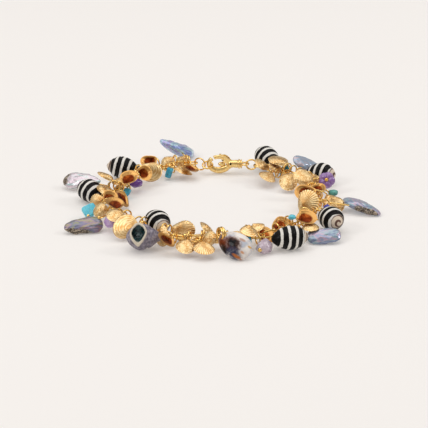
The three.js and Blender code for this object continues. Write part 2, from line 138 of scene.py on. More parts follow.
class Value:
    def __init__(self, paint, socket):
        self.paint = paint
        self.socket = socket

    def math(self, operation, *others, swap=False):
        terms = [self, *others]
        if swap:
            terms.reverse()
        return self.paint.node("ShaderNodeMath", dict(enumerate(terms)), operation=operation)

    def __add__(self, other):
        return self.math("ADD", other)

    __radd__ = __add__

    def __sub__(self, other):
        return self.math("SUBTRACT", other)

    def __rsub__(self, other):
        return self.math("SUBTRACT", other, swap=True)

    def __mul__(self, other):
        return self.math("MULTIPLY", other)

    __rmul__ = __mul__

    def __truediv__(self, other):
        return self.math("DIVIDE", other)

    def __pow__(self, other):
        return self.math("POWER", other)

    def above(self, start, width):
        """0 below start, rising smoothly to 1 over width."""
        names = ("Value", "From Min", "From Max")
        ends = dict(zip(names, (self, start, start + width)))
        return self.paint.node("ShaderNodeMapRange", ends, interpolation_type="SMOOTHSTEP")


class Paint:
    def __init__(self, name, **constants):
        self.material = bpy.data.materials.new(name)
        self.material.use_nodes = True
        self.tree = self.material.node_tree
        self.shader = self.tree.nodes["Principled BSDF"]
        for socket, value in constants.items():
            self.shader.inputs[socket.replace("_", " ")].default_value = value

    def node(self, kind, inputs=(), output=0, stops=None, **settings):
        made = self.tree.nodes.new(kind)
        for key, setting in settings.items():
            setattr(made, key, setting)
        if stops:
            ramp = made.color_ramp.elements
            while len(ramp) < len(stops):
                ramp.new(1)
            for element, (place, shade) in zip(ramp, stops):
                element.position = place
                element.color = shade
        for key, given in dict(inputs).items():
            if isinstance(given, Value):
                self.tree.links.new(given.socket, made.inputs[key])
            else:
                made.inputs[key].default_value = given
        return Value(self, made.outputs[output])

    def attribute(self, name, output="Fac"):
        return self.node("ShaderNodeAttribute", output=output, attribute_name=name)

    def body(self):
        """The charm's own coordinates in millimetres."""
        return self.attribute("body", "Vector")

    def place(self):
        """The place in the whole anklet in millimetres."""
        place = self.node("ShaderNodeTexCoord", output="Object")
        ends = {0: place, "Scale": 1 / MM}
        return self.node("ShaderNodeVectorMath", ends, operation="SCALE")

    def split(self, vector):
        made = self.node("ShaderNodeSeparateXYZ", {0: vector}).socket.node
        return [Value(self, socket) for socket in made.outputs]

    def noise(self, vector, scale, detail=2, roughness=0.5, distortion=0):
        ends = {"Vector": vector, "Scale": scale, "Detail": detail}
        ends.update({"Roughness": roughness, "Distortion": distortion})
        return self.node("ShaderNodeTexNoise", ends)

    def ramp(self, factor, stops):
        return self.node("ShaderNodeValToRGB", {0: factor}, stops=stops)

    def mix(self, factor, first, second):
        ends = {0: factor, 6: first, 7: second}
        return self.node("ShaderNodeMix", ends, output=2, data_type="RGBA")

    def bump(self, height, distance, strength=1):
        """height from 0 to 1 stands for distance in millimetres."""
        ends = {"Height": height, "Distance": distance * MM, "Strength": strength}
        return self.node("ShaderNodeBump", ends)

    def set(self, **links):
        for socket, value in links.items():
            target = self.shader.inputs[socket.replace("_", " ")]
            self.tree.links.new(value.socket, target)
        return self.material


# %% [markdown]
# ## Turn a mesh into a piece
# Every form is built in millimetres around its own middle. Then its points are kept in the
# attribute "body", carried to their place in the anklet, and handed to the CAD body that moves
# them. The object itself stays at the origin.


# %% Piece helpers
def stamp(bm):
    """Keeps each point's own coordinates before the mesh is moved."""
    layer = bm.verts.layers.float_vector.new("body")
    for vert in bm.verts:
        vert[layer] = vert.co
    return bm


def piece(name, bm, matrix, paints, nodes=(), body="anklet", subdivide=0):
    bmesh.ops.transform(bm, matrix=Matrix.Scale(MM, 4) @ matrix, verts=bm.verts)
    for face in bm.faces:
        face.smooth = True
    mesh = bpy.data.meshes.new(name)
    bm.to_mesh(mesh)
    bm.free()
    obj = bpy.data.objects.new(name, mesh)
    bpy.context.collection.objects.link(obj)
    for paint in paints:
        mesh.materials.append(paint)
    if subdivide:
        smooth = obj.modifiers.new("smooth", "SUBSURF")
        smooth.levels = smooth.render_levels = subdivide
    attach(obj, body)
    if nodes:
        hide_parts(*nodes)


def absorb(target, part, matrix=Matrix()):
    """Adds a copy of part to target and frees part."""
    bmesh.ops.transform(part, matrix=matrix, verts=part.verts)
    scratch = bpy.data.meshes.new("scratch")
    part.to_mesh(scratch)
    target.from_mesh(scratch)
    bpy.data.meshes.remove(scratch)
    part.free()


def torus(radius, wire, around=28, sides=10):
    """A ring in the XY plane: a circle spun about Z."""
    bm = bmesh.new()
    upright = moved(radius) @ turned(90, "X")
    bmesh.ops.create_circle(bm, radius=wire, segments=sides, matrix=upright)
    bmesh.ops.spin(
        bm, geom=bm.edges[:], axis=(0, 0, 1), angle=math.tau, steps=around, use_merge=True
    )
    bmesh.ops.recalc_face_normals(bm, faces=bm.faces)
    return bm


def ball(around=48, rings=32):
    """A unit sphere whose poles lie along X."""
    bm = bmesh.new()
    bmesh.ops.create_uvsphere(
        bm, u_segments=around, v_segments=rings, radius=1, matrix=turned(90, "Y")
    )
    return bm


def rod(radius, depth, segments, matrix):
    """A capped cylinder along Z, set down by matrix."""
    bm = bmesh.new()
    bmesh.ops.create_cone(
        bm,
        cap_ends=True,
        segments=segments,
        radius1=radius,
        radius2=radius,
        depth=depth,
        matrix=matrix,
    )
    return bm


def bevel(bm, edges, offset, segments):
    bmesh.ops.bevel(
        bm, geom=edges, offset=offset, segments=segments, affect="EDGES", profile=0.5, material=-1
    )


def clamp(value):
    return min(1, max(0, value))


def bell(distance, width):
    """1 at distance 0, falling to nearly 0 two widths away."""
    return math.exp(-((distance / width) ** 2))


def grain(point, size, seed=0):
    """Smooth noise from -1 to 1, in lumps of about size millimetres."""
    return noise.noise(Vector(point) / size + Vector((seed, 1.7 * seed, 2.3 * seed)))


def shake(point, size=1):
    """A smooth shift made of three grains. noise.noise_vector differs from run to run."""
    return Vector([grain(point, size, seed) for seed in (1, 2, 3)])


# %% [markdown]
# ## Gold
# The chain, rings and thin shells are gold-plated brass. Cast shells keep a sandy or ribbed skin
# that scatters light, so their gold is paler outside. Inside a hollow shell gold reflects gold
# again and again, which deepens to a red-brown, so the inner faces get a darker, redder paint.

# %% Gold paints
GOLD = colour(206, 156, 92)
PALE_GOLD = colour(240, 212, 160)
# The two darker golds are painted reflection shade for the shells' inner faces.
DEEP_REFLECTION_SHADE = colour(178, 96, 38)
RED_REFLECTION_SHADE = colour(112, 44, 16)


def polished_gold():
    paint = Paint("polished gold", Metallic=1, Coat_Roughness=0.1)
    place = paint.place()
    worn = paint.noise(place, 0.35, 3)
    tint = paint.ramp(worn, [(0.3, colour(232, 184, 98)), (0.7, colour(248, 212, 140))])
    scratches = paint.noise(place, 2.2, 4, 0.7)
    return paint.set(
        Base_Color=tint, Roughness=0.12 + 0.14 * scratches, Normal=paint.bump(scratches, 0.03, 0.4)
    )


def inner_gold_reflection_shade():
    """Painted shade of gold reflecting gold, deepest in the hollow's bottom, bright along the lip.
    """
    paint = Paint("inner gold reflection shade", Metallic=1, Roughness=0.34)
    body = paint.body()
    clouds = paint.noise(body, 0.35, 3, 0.6)
    grains = paint.noise(body, 2.2, 3, 0.6)
    stops = [(0.3, colour(70, 22, 8)), (0.5, RED_REFLECTION_SHADE), (0.72, DEEP_REFLECTION_SHADE)]
    tone = paint.ramp(clouds * 0.75 + grains * 0.25, stops)
    outward = paint.attribute("outward")
    lip = (outward + 0.2 * clouds).above(0.78, 0.16)
    return paint.set(Base_Color=paint.mix(lip, tone, GOLD), Normal=paint.bump(grains, 0.08))


def sandy_gold_ridge_shaded(name, light, dark, grit):
    """Cast gold with bright grains, painted light on its ridges and painted shade in its hollows.
    """
    paint = Paint(name, Metallic=1)
    body = paint.body()
    grains = paint.noise(body, 1.7, 3, 0.6)
    patches = paint.noise(body, 0.3, 2)
    relief = paint.attribute("relief")
    # relief lightens ridges as painted light and darkens grooves as painted shade.
    tone = (grains * grit + patches * (1 - grit) + relief * 0.14).above(0.38, 0.22)
    return paint.set(
        Base_Color=paint.mix(tone, dark, light),
        Roughness=0.42 - 0.14 * grains,
        Normal=paint.bump(grains, 0.26 * grit + 0.03),
    )


def satin_gold_hole_shaded():
    """The claw's gold, with painted shade in its drill mark and in the slot over the lever's
    spring.
    """
    paint = Paint("claw gold hole shade", Metallic=1)
    body = paint.body()
    x, y, z = paint.split(body)
    brushed = paint.noise(body, 1.6, 4, 0.7)
    tint = paint.ramp(brushed, [(0.3, colour(228, 178, 98)), (0.65, colour(255, 230, 164))])
    # On the front, the drill mark and the slot get a dark brown as painted shade.
    front = 1 - y.above(-0.5, 0.2)
    outside_drill_shade = ((x - 4.6) ** 2 + (z - 0.5) ** 2).above(0.14, 0.1)
    slope = (z - 1.75 - 0.25 * (x - 1.1)) / 0.25
    slot = (((x - 1.1) / 0.85) ** 2 + slope * slope).above(0.7, 0.4)
    dark = front * (1 - outside_drill_shade * slot)
    return paint.set(
        Base_Color=paint.mix(dark, tint, colour(52, 22, 10)),
        Roughness=0.2 + 0.2 * brushed,
        Normal=paint.bump(brushed, 0.06),
    )


chain_gold = polished_gold()
claw_gold = satin_gold_hole_shaded()
fan_paints = {
    "sandy": sandy_gold_ridge_shaded("sandy gold", PALE_GOLD, GOLD, 0.8),
    "ribbed": sandy_gold_ridge_shaded("ribbed gold", PALE_GOLD, GOLD, 0.35),
    "inside": inner_gold_reflection_shade(),
}
fan_paints["grown"] = fan_paints["ribbed"]

# %% [markdown]
# ## Shells
# A banded snail shell carries one spiral of black and white: the band's phase is the distance
# along the shell plus a share of the turn round it. The tip has worn down to beige.

# %% Shell paints
BAND_PITCH = 2.7
BLACK = colour(10, 9, 9)
WHITE = colour(240, 238, 232)


def banded_shell():
    paint = Paint("banded shell", Coat_Weight=0.05, Coat_Roughness=0.1, Specular_IOR_Level=0.08)
    body = paint.body()
    x, y, z = paint.split(body)
    turn = y.math("ARCTAN2", z) / math.tau
    waver = paint.noise(body, 0.5, 2) - 0.5
    phase = (x / BAND_PITCH - turn + 0.22 * waver).math("FRACT")
    band = phase.above(0.6, 0.03) - phase.above(0.94, 0.03)
    white = band * x.above(-5.7, 0.5)
    growth = paint.noise(body, 1.6, 4, 0.7)
    dark = paint.ramp(growth, [(0.45, BLACK), (0.8, colour(30, 25, 23))])
    pale = paint.ramp(growth, [(0.3, colour(214, 208, 198)), (0.7, WHITE)])
    tip = (x + 0.8 * waver).above(4.3, 0.5)
    banded = paint.mix(white, dark, pale)
    whorl = (x / 1.3 - turn).math("FRACT")
    core = whorl.above(0.35, 0.1) - whorl.above(0.75, 0.1)
    worn = paint.mix(core, colour(222, 206, 186), colour(104, 78, 68))
    return paint.set(
        Base_Color=paint.mix(tip, banded, worn),
        Roughness=0.28 + 0.2 * growth,
        Normal=paint.bump(growth, 0.08),
    )


# Places and half sizes in the shell's own millimetres, along and across it.
BLOTCHES = [
    dict(at=(-5.9, 0.5), size=(1.6, 2.4), shade=colour(112, 104, 108)),
    dict(at=(-3.9, -1.6), size=(2.4, 2.1), shade=colour(112, 50, 18)),
    dict(at=(-1.8, -3.1), size=(2.5, 2), shade=colour(26, 10, 8)),
    dict(at=(-0.2, -0.1), size=(3.6, 2.4), shade=colour(126, 58, 22)),
    dict(at=(0.1, 0), size=(3.1, 2), shade=colour(4, 3, 4)),
    dict(at=(2, -2.9), size=(3, 2.1), shade=colour(50, 54, 78)),
    dict(at=(3.4, -3.3), size=(1.8, 0.6), shade=colour(176, 104, 52)),
    dict(at=(4.6, -1.2), size=(0.8, 0.5), shade=colour(206, 150, 112)),
    dict(at=(2.3, 2.6), size=(1.4, 0.5), shade=colour(188, 150, 130)),
    dict(at=(5.6, 1.7), size=(0.6, 0.45), shade=colour(220, 172, 104)),
]


def spotted_shell():
    """Milky glaze over blotches that melt into it: black, brown, orange and slate blue."""
    paint = Paint(
        "spotted shell", Coat_Weight=0.1, Coat_Roughness=0.05, Roughness=0.3, Specular_IOR_Level=0.1
    )
    body = paint.body()
    x, y, z = paint.split(body)
    clouds = paint.noise(body, 0.35, 3)
    ragged = paint.noise(body, 0.9, 4, 0.6)
    milk = [
        (0.35, colour(186, 190, 200)),
        (0.5, colour(222, 214, 208)),
        (0.65, colour(240, 234, 228)),
    ]
    tint = paint.ramp(clouds, milk)
    for row in BLOTCHES:
        along = (x - row["at"][0]) / row["size"][0]
        across = (y - row["at"][1]) / row["size"][1]
        reach = along * along + across * across + 1.8 * (ragged - 0.5)
        tint = paint.mix(1 - reach.above(0, 1.5), tint, row["shade"])
    return paint.set(Base_Color=tint)


def turban_shell_paint():
    """Worn violet-grey outside, cream lip, teal mother-of-pearl with painted shade deep in the
    mouth.
    """
    paint = Paint("turban shell", Coat_Weight=0.15)
    body = paint.body()
    worn = paint.noise(body, 0.8, 5, 0.65)
    skin = paint.ramp(
        worn,
        [(0.3, colour(66, 62, 76)), (0.5, colour(122, 114, 128)), (0.7, colour(176, 168, 176))],
    )
    depth = paint.attribute("mouth")
    lip = depth.above(0.04, 0.06)
    # Deeper in the mouth the teal gets painted shade, near black at its darkest.
    inside = depth.above(0.2, 0.15)
    cream = paint.mix(lip, skin, colour(214, 202, 182))
    nacre_and_mouth_shade = paint.ramp(worn, [(0.35, colour(8, 18, 22)), (0.7, colour(36, 74, 76))])
    return paint.set(
        Base_Color=paint.mix(inside, cream, nacre_and_mouth_shade),
        Roughness=0.55 - 0.35 * inside,
        Normal=paint.bump(worn, 0.25),
    )


shell_paints = {
    "snail": banded_shell(),
    "cowrie": spotted_shell(),
    "turban": turban_shell_paint(),
}

# %% [markdown]
# ## Pearls and stones
# A baroque pearl's lustre is colour that drifts in folded bands over a grey ground, under a clear
# gloss. Pits and the unpolished end show the brown of the mother shell. Amethyst is a little
# clear, turquoise carries fine brown veins, and lapis has specks of pyrite.


# %% Pearl and stone paints
def pearl_paint(name, ground, *lustres):
    """lustres are pairs of a place from 0 to 1 and a colour. The ground begins and ends them."""
    paint = Paint(name, Coat_Weight=0.7, Coat_Roughness=0.08, Metallic=0.35, Sheen_Weight=0.1)
    body = paint.body()
    ends = {0: body, 1: (0.3, 1, 1)}
    drawn_out = paint.node("ShaderNodeVectorMath", ends, operation="MULTIPLY")
    folds = paint.noise(drawn_out, 0.3, 2, 0.5, 1)
    fine = paint.noise(body, 0.9, 4, 0.6)
    drift = (folds * 3.2 + fine * 0.35).math("FRACT")
    stops = [(at, colour(*shade)) for at, shade in ((0, ground), *lustres, (1, ground))]
    lustre = paint.ramp(drift, stops)
    pits = paint.attribute("pits")
    hollows = paint.noise(body, 1.6, 3, 0.6).above(0.46, 0.08)
    unpolished = paint.mix(hollows, colour(70, 56, 42), colour(178, 160, 138))
    return paint.set(
        Base_Color=paint.mix(pits.above(0.3, 0.4), lustre, unpolished),
        Roughness=0.22 + 0.5 * pits,
        Normal=paint.bump(folds * 0.6 + fine * 0.15 + hollows * pits * 0.5, 0.5),
    )




def clear_stone(name, dark, light, clear):
    paint = Paint(name, Transmission_Weight=clear, IOR=1.54, Coat_Weight=0.4, Coat_Roughness=0.05)
    body = paint.body()
    zones = paint.noise(body, 0.32, 4, 0.6, 0.8)
    flaws = paint.noise(body, 1.4, 3, 0.7)
    tint = paint.ramp(zones, [(0.32, dark), (0.66, light)])
    return paint.set(
        Base_Color=tint, Roughness=0.08 + 0.3 * flaws, Normal=paint.bump(flaws, 0.12, 0.6)
    )


def veined_stone(name, ground, light, vein, amount):
    paint = Paint(name, Coat_Weight=0.3, Coat_Roughness=0.2)
    body = paint.body()
    clouds = paint.noise(body, 0.5, 3)
    net = paint.noise(body, 0.6, 5, 0.6, 1.2)
    crack = 1 - (net - 0.5).math("ABSOLUTE").above(0.004, 0.02 * amount)
    tone = paint.ramp(clouds, [(0.35, ground), (0.65, light)])
    return paint.set(
        Base_Color=paint.mix(crack * 0.7, tone, vein),
        Roughness=0.35 + 0.2 * clouds,
        Normal=paint.bump(clouds, 0.1),
    )


def speckled_stone(name, dark, light, speck):
    paint = Paint(name, Coat_Weight=0.3, Coat_Roughness=0.15)
    body = paint.body()
    clouds = paint.noise(body, 0.8, 4, 0.6)
    flecks = paint.noise(body, 3.5, 2).above(0.68, 0.04)
    tone = paint.ramp(clouds, [(0.35, dark), (0.65, light)])
    return paint.set(
        Base_Color=paint.mix(flecks, tone, speck),
        Metallic=flecks,
        Roughness=0.25 + 0.25 * clouds,
        Normal=paint.bump(clouds, 0.12),
    )


VEIN = colour(92, 74, 50)
GEMS = {
    "blue pearl": (
        pearl_paint, (118, 128, 196), (0.25, (150, 176, 222)), (0.5, (170, 150, 204)),
        (0.75, (176, 214, 220)),
    ),
    "silver pearl": (
        pearl_paint, (208, 206, 212), (0.25, (160, 194, 192)), (0.45, (226, 222, 224)),
        (0.7, (220, 200, 210)),
    ),
    "olive pearl": (
        pearl_paint, (134, 132, 98), (0.35, (152, 144, 112)), (0.6, (150, 122, 138)),
        (0.8, (108, 112, 142)),
    ),
    "blue-grey pearl": (
        pearl_paint, (112, 124, 156), (0.4, (146, 156, 184)), (0.6, (190, 160, 180)),
        (0.8, (150, 176, 186)),
    ),
    "pink-grey pearl": (
        pearl_paint, (190, 172, 178), (0.4, (168, 168, 182)), (0.7, (150, 176, 200)),
    ),
    "dark amethyst": (clear_stone, colour(74, 28, 112), colour(132, 72, 168), 0.25),
    "light amethyst": (clear_stone, colour(184, 142, 206), colour(226, 202, 236), 0.2),
    "clear amethyst": (clear_stone, colour(178, 148, 172), colour(242, 232, 238), 0.3),
    "lilac amethyst": (clear_stone, colour(138, 92, 172), colour(188, 150, 208), 0.3),
    "turquoise": (veined_stone, colour(24, 142, 178), colour(58, 178, 206), VEIN, 1),
    "pale turquoise": (veined_stone, colour(64, 188, 214), colour(104, 208, 226), VEIN, 0.3),
    "green turquoise": (veined_stone, colour(52, 138, 132), colour(96, 176, 164), VEIN, 1),
    "teal": (veined_stone, colour(8, 96, 116), colour(20, 132, 150), VEIN, 0.6),
    "lapis": (speckled_stone, colour(18, 28, 130), colour(44, 62, 190), GOLD),
}
gem_paints = {name: make(name, *tones) for name, (make, *tones) in GEMS.items()}
print(len(bpy.data.materials), "materials")

# %% [markdown]
# ## The thin gold shells
# Each is cast from a real clam or fan shell. A half sphere gives rings and rays, which are laid
# out round the beak, the umbo, where a shell starts to grow: rays become ribs, and rings become
# growth lines. Solidify gives the sheet its wall; the inner skin takes the painted reflection
# shade.

# %% A fan shell
UMBO = 0.55
FAN_WALL = 0.42
GROWTH_LINES = 6.5
INSIDE = -0.35


def fan_shell(radius=3.7, dome=1.3, style="sandy", ribs=26, relief=0.12, lean=0.12):
    bm = bmesh.new()
    raised = bm.verts.layers.float.new("relief")
    outward = bm.verts.layers.float.new("outward")
    bmesh.ops.create_uvsphere(bm, u_segments=96, v_segments=32, radius=1)
    everything = bm.verts[:] + bm.edges[:] + bm.faces[:]
    bmesh.ops.bisect_plane(
        bm, geom=everything, plane_co=(0, 0, 0), plane_no=(0, 0, 1), clear_inner=True
    )
    for vert in bm.verts:
        ray = math.atan2(vert.co.y, vert.co.x)
        out = math.acos(min(1, max(-1, vert.co.z))) / (math.pi / 2)
        hinge = max(0, -math.cos(ray)) ** 4
        shoulder = bell(abs(ray) - 2.2, 0.45)
        rib = math.cos(ribs * ray) * (1 - hinge) if style == "ribbed" else 0
        line = math.cos(GROWTH_LINES * math.tau * out) * (1 - hinge) if style == "grown" else 0
        if style == "sandy":
            line = 0.5 * grain((9 * math.cos(ray), 9 * math.sin(ray), 5 * out), 0.9, radius)
        edge = radius * (1 + 0.014 * rib - 0.09 * shoulder)
        forward = edge * (1 + 0.1 * hinge) * math.cos(ray)
        rim = Vector((forward, edge * (1 - 0.3 * hinge) * math.sin(ray)))
        rim.x += lean * rim.y * (1 - hinge)
        start = Vector((-UMBO * radius, lean * radius))
        flat = start.lerp(rim, out)
        height = dome * (1 - out**2.2) + 0.4 * bell(out, 0.2) - dome / 3
        wave = rib * min(1, 2.5 * out) + line * min(1, 4 * out)
        vert[raised] = wave
        vert[outward] = out
        vert.co = (flat.x, flat.y, height + relief * wave)
    bmesh.ops.solidify(bm, geom=bm.faces[:], thickness=FAN_WALL)
    bmesh.ops.recalc_face_normals(bm, faces=bm.faces)
    for face in bm.faces:
        # Faces turned down into the hollow take the painted reflection shade.
        face.material_index = 1 if face.normal.z < INSIDE else 0
    return bm


# %% [markdown]
# ## The sea shells
# A snail shell is close to a spindle, so a sphere with its poles along X is drawn out to the
# spindle's outline. A helical groove, the suture, winds up the spire, and a long narrow mouth is
# pressed into the lower side beside its thick lip.

# %% Snail, turban and cowrie
SNAIL_WHORL = 2.3
TURBAN_WHORL = 3.4


def spindle(point, belly, blunt, sharp):
    """How far along and how far round a spindle a point of the sphere comes, and its thickness."""
    along = math.acos(min(1, max(-1, -point.x))) / math.pi - 0.5
    turn = math.atan2(point.y, point.z)
    if along < belly:
        swell = math.sin(math.pi / 2 * (along + 0.5) / (0.5 + belly)) ** blunt
    else:
        swell = math.sin(math.pi / 2 * max(0, 0.5 - along) / (0.5 - belly)) ** sharp
    return along, turn, swell


def snail_shell(length=12.5, girth=8.6):
    bm = ball(72, 56)
    for vert in bm.verts:
        along, turn, swell = spindle(vert.co, 0.06, 0.6, 0.7)
        radius = swell * girth / 2
        x = along * length
        suture = (x / SNAIL_WHORL - turn / math.tau) % 1
        radius *= 1 - 0.09 * bell(suture - 0.5, 0.13) * clamp((along - 0.02) / 0.1)
        slit = bell(abs(turn) - math.pi, 0.3) * bell(along + 0.24, 0.16)
        radius -= 1.1 * slit
        vert.co = Vector((x, radius * math.sin(turn), radius * math.cos(turn)))
        vert.co.y *= 1 + 0.4 * max(0, -along)
    return bm


def turban_shell(length=12.4, girth=9.4, spin=60):
    bm = ball(112, 84)
    mouth = bm.verts.layers.float.new("mouth")
    for vert in bm.verts:
        along, turn, swell = spindle(vert.co, -0.12, 0.62, 1.1)
        radius = swell * girth / 2
        x = along * length
        suture = (x / TURBAN_WHORL - turn / math.tau) % 1
        radius *= 1 - 0.12 * bell(suture - 0.5, 0.14) * clamp((along + 0.14) / 0.1)
        radius += 0.18 * math.sin(9 * turn + 2 * x) * swell * bell(suture - 0.75, 0.16)
        side = radius * math.sin(turn)
        across = abs(x + 0.17 * length) / (0.29 * girth)
        round_it = abs(side) / (0.4 * girth)
        span = (across**1.5 + round_it**1.5) ** (1 / 1.5)
        facing = math.cos(turn) > 0
        rim = bell(span - 1, 0.16) if facing else 0
        hole = clamp((0.95 - span) / 0.35) if facing else 0
        radius += 0.5 * rim
        radius -= 2.6 * hole * hole * (3 - 2 * hole)
        vert[mouth] = 0.12 * rim + hole if facing else 0
        vert.co = Vector((x, radius * math.sin(turn), radius * math.cos(turn)))
        vert.co += 0.12 * grain(vert.co, 1.8) * vert.co.normalized()
    bmesh.ops.transform(bm, matrix=turned(spin, "X"), verts=bm.verts)
    return bm


def cowrie_shell(length=13.2, width=9.2, thick=6):
    bm = ball(64, 48)
    for vert in bm.verts:
        taper = 1 + 0.16 * vert.co.x
        below = vert.co.z < 0
        slit = bell(vert.co.y, 0.07) * bell(vert.co.x, 0.8) if below else 0
        teeth = 0.03 * math.sin(46 * vert.co.x) * bell(abs(vert.co.y) - 0.14, 0.1) if below else 0
        vert.co.x *= length / 2
        vert.co.y *= width / 2 * taper
        vert.co.z *= (0.7 if below else 1) * thick / 2 * taper * (1 - 0.4 * slit + teeth)
    return bm


# %% [markdown]
# ## Pearls, stones and beads
# Pearls are squashed spheres pulled into lobes and folded by slow noise. A tumbled stone starts
# from the twenty faces of an icosahedron, made uneven. Bevelled corners and one subdivision
# leave the soft facets that tumbling gives.


# %% Pearl and stone forms
def pearl_form(
    length=13, width=7, thick=3.4, waist=0, bow=0, taper=0, square=2, pitted=None, seed=1
):
    """square is 2 for an oval outline and more for a squarish one; pitted is the rough side."""
    bm = ball(64, 44)
    pits = bm.verts.layers.float.new("pits")
    for vert in bm.verts:
        flat = vert.co.xy.length
        if flat > 1e-6:
            blunt = (abs(vert.co.x) ** square + abs(vert.co.y) ** square) ** (1 / square)
            vert.co.xy *= (flat / blunt) ** (0.8 * flat)
            if pitted is not None:
                way = math.radians(pitted)
                facing = (vert.co.x * math.cos(way) + vert.co.y * math.sin(way)) / flat
                vert[pits] = clamp((facing - 0.6) / 0.3) * clamp((flat - 0.55) / 0.3)
        along = vert.co.x
        narrow = 1 - waist * math.exp(-12 * along * along) - taper * along
        folds = grain(vert.co * 3, 1.5, seed) + 0.5 * grain(vert.co * 3, 0.6, seed + 5)
        swell = 1 + 0.16 * folds - vert[pits] * (0.08 + 0.1 * grain(vert.co * 3, 0.25, seed))
        vert.co.x *= length / 2 * (1 - 0.06 * vert[pits])
        vert.co.y = vert.co.y * swell * width * narrow / 2 + bow * width * (along * along - 0.4)
        vert.co.z *= swell * thick * (1 - 0.25 * taper * along) / 2
    return bm


def nugget_form(size=(5, 4, 3.5), rough=0.18, seed=1):
    bm = bmesh.new()
    bmesh.ops.create_icosphere(bm, subdivisions=1, radius=0.5)
    for vert in bm.verts:
        x, y, z = vert.co
        uneven = 1 + rough * math.sin(7 * x + 5 * y * seed + 9 * z + seed)
        vert.co *= 1.12 * uneven
    bevel(bm, bm.edges[:], 0.07, 2)
    bmesh.ops.scale(bm, vec=size, verts=bm.verts)
    return bm


def chip_form(size=(5, 4.5, 1.8), skew=0.2):
    bm = bmesh.new()
    bmesh.ops.create_cube(bm, size=1)
    for vert in bm.verts:
        wide = 1 + skew * vert.co.x
        thin = 1 - 0.4 * abs(skew) * vert.co.x
        vert.co = (
            size[0] * (vert.co.x + 0.25 * skew * vert.co.y),
            size[1] * wide * vert.co.y,
            size[2] * thin * vert.co.z,
        )
    bmesh.ops.subdivide_edges(bm, edges=bm.edges[:], cuts=2, use_grid_fill=True)
    for vert in bm.verts:
        vert.co += 0.05 * min(size) * shake(vert.co)
    return bm


def tube_form(length=4, width=2.6):
    bm = rod(width / 2, length, 24, turned(90, "Y"))
    caps = [face for face in bm.faces if len(face.verts) > 4]
    bmesh.ops.inset_region(bm, faces=caps, thickness=0.3, depth=0)
    bmesh.ops.inset_individual(bm, faces=caps, thickness=0.35, depth=-0.5)
    for vert in bm.verts:
        vert.co += 0.08 * shake(vert.co, 1.5)
    return bm


def flower_form(width=6.4, thick=3):
    bm = bmesh.new()
    bmesh.ops.create_uvsphere(bm, u_segments=80, v_segments=28, radius=1)
    for vert in bm.verts:
        turn = math.atan2(vert.co.y, vert.co.x)
        out = vert.co.xy.length
        petal = 0.86 + 0.14 * abs(math.cos(2.5 * turn)) ** 0.6
        vert.co.z *= 0.7 + 0.3 * abs(math.cos(2.5 * turn))
        vert.co.z *= thick / 2 * (1 - 0.35 * bell(out, 0.3))
        vert.co.x *= petal * width / 2
        vert.co.y *= petal * width / 2
    return bm


# %% The kinds of charm
KINDS = {
    "fan": {"make": fan_shell, "slot": "gold"},
    "snail": {"make": snail_shell, "slot": "banded_shell", "reach": 6},
    "pearl": {"make": pearl_form, "slot": "pearl", "reach": 8, "pin": True},
    "nugget": {"make": nugget_form, "slot": "amethyst", "reach": 3, "smooth": 1},
    "flower": {"make": flower_form, "slot": "amethyst", "reach": 3},
    "turquoise": {"make": nugget_form, "slot": "turquoise", "reach": 2.6, "smooth": 1},
    "chip": {"make": chip_form, "slot": "turquoise", "reach": 2.6, "smooth": 2},
    "tube": {"make": tube_form, "slot": "turquoise", "reach": 2, "smooth": 1},
    "lapis": {"make": nugget_form, "slot": "lapis", "reach": 1.6, "smooth": 1},
    "cowrie": {"make": cowrie_shell, "slot": "spotted_shell", "reach": 6.4},
    "turban": {"make": turban_shell, "slot": "turban_shell", "reach": 3.9},
}

# %% [markdown]
# ## Where the charms hang
# Each row names the link of the chain and where on it the jump ring hangs, which way the ring
# leaves the link, and how the charm then lies: "swing" turns it in plan from straight outward,
# "dip" is how far it drops below level, "roll" turns it about its own hang direction and "turn"
# is its long axis off that direction. A row without a dip rests on the surface.

# %% The rows
BEAK_GAP = 0.1


def fan(name, radius, style="sandy", reach=None, **hanging):
    """The row of a fan shell, whose middle lies its radius and a small gap from the ring."""
    form = dict(radius=radius, style=style)
    return dict(name=name, kind="fan", reach=reach or radius + BEAK_GAP, form=form, **hanging)


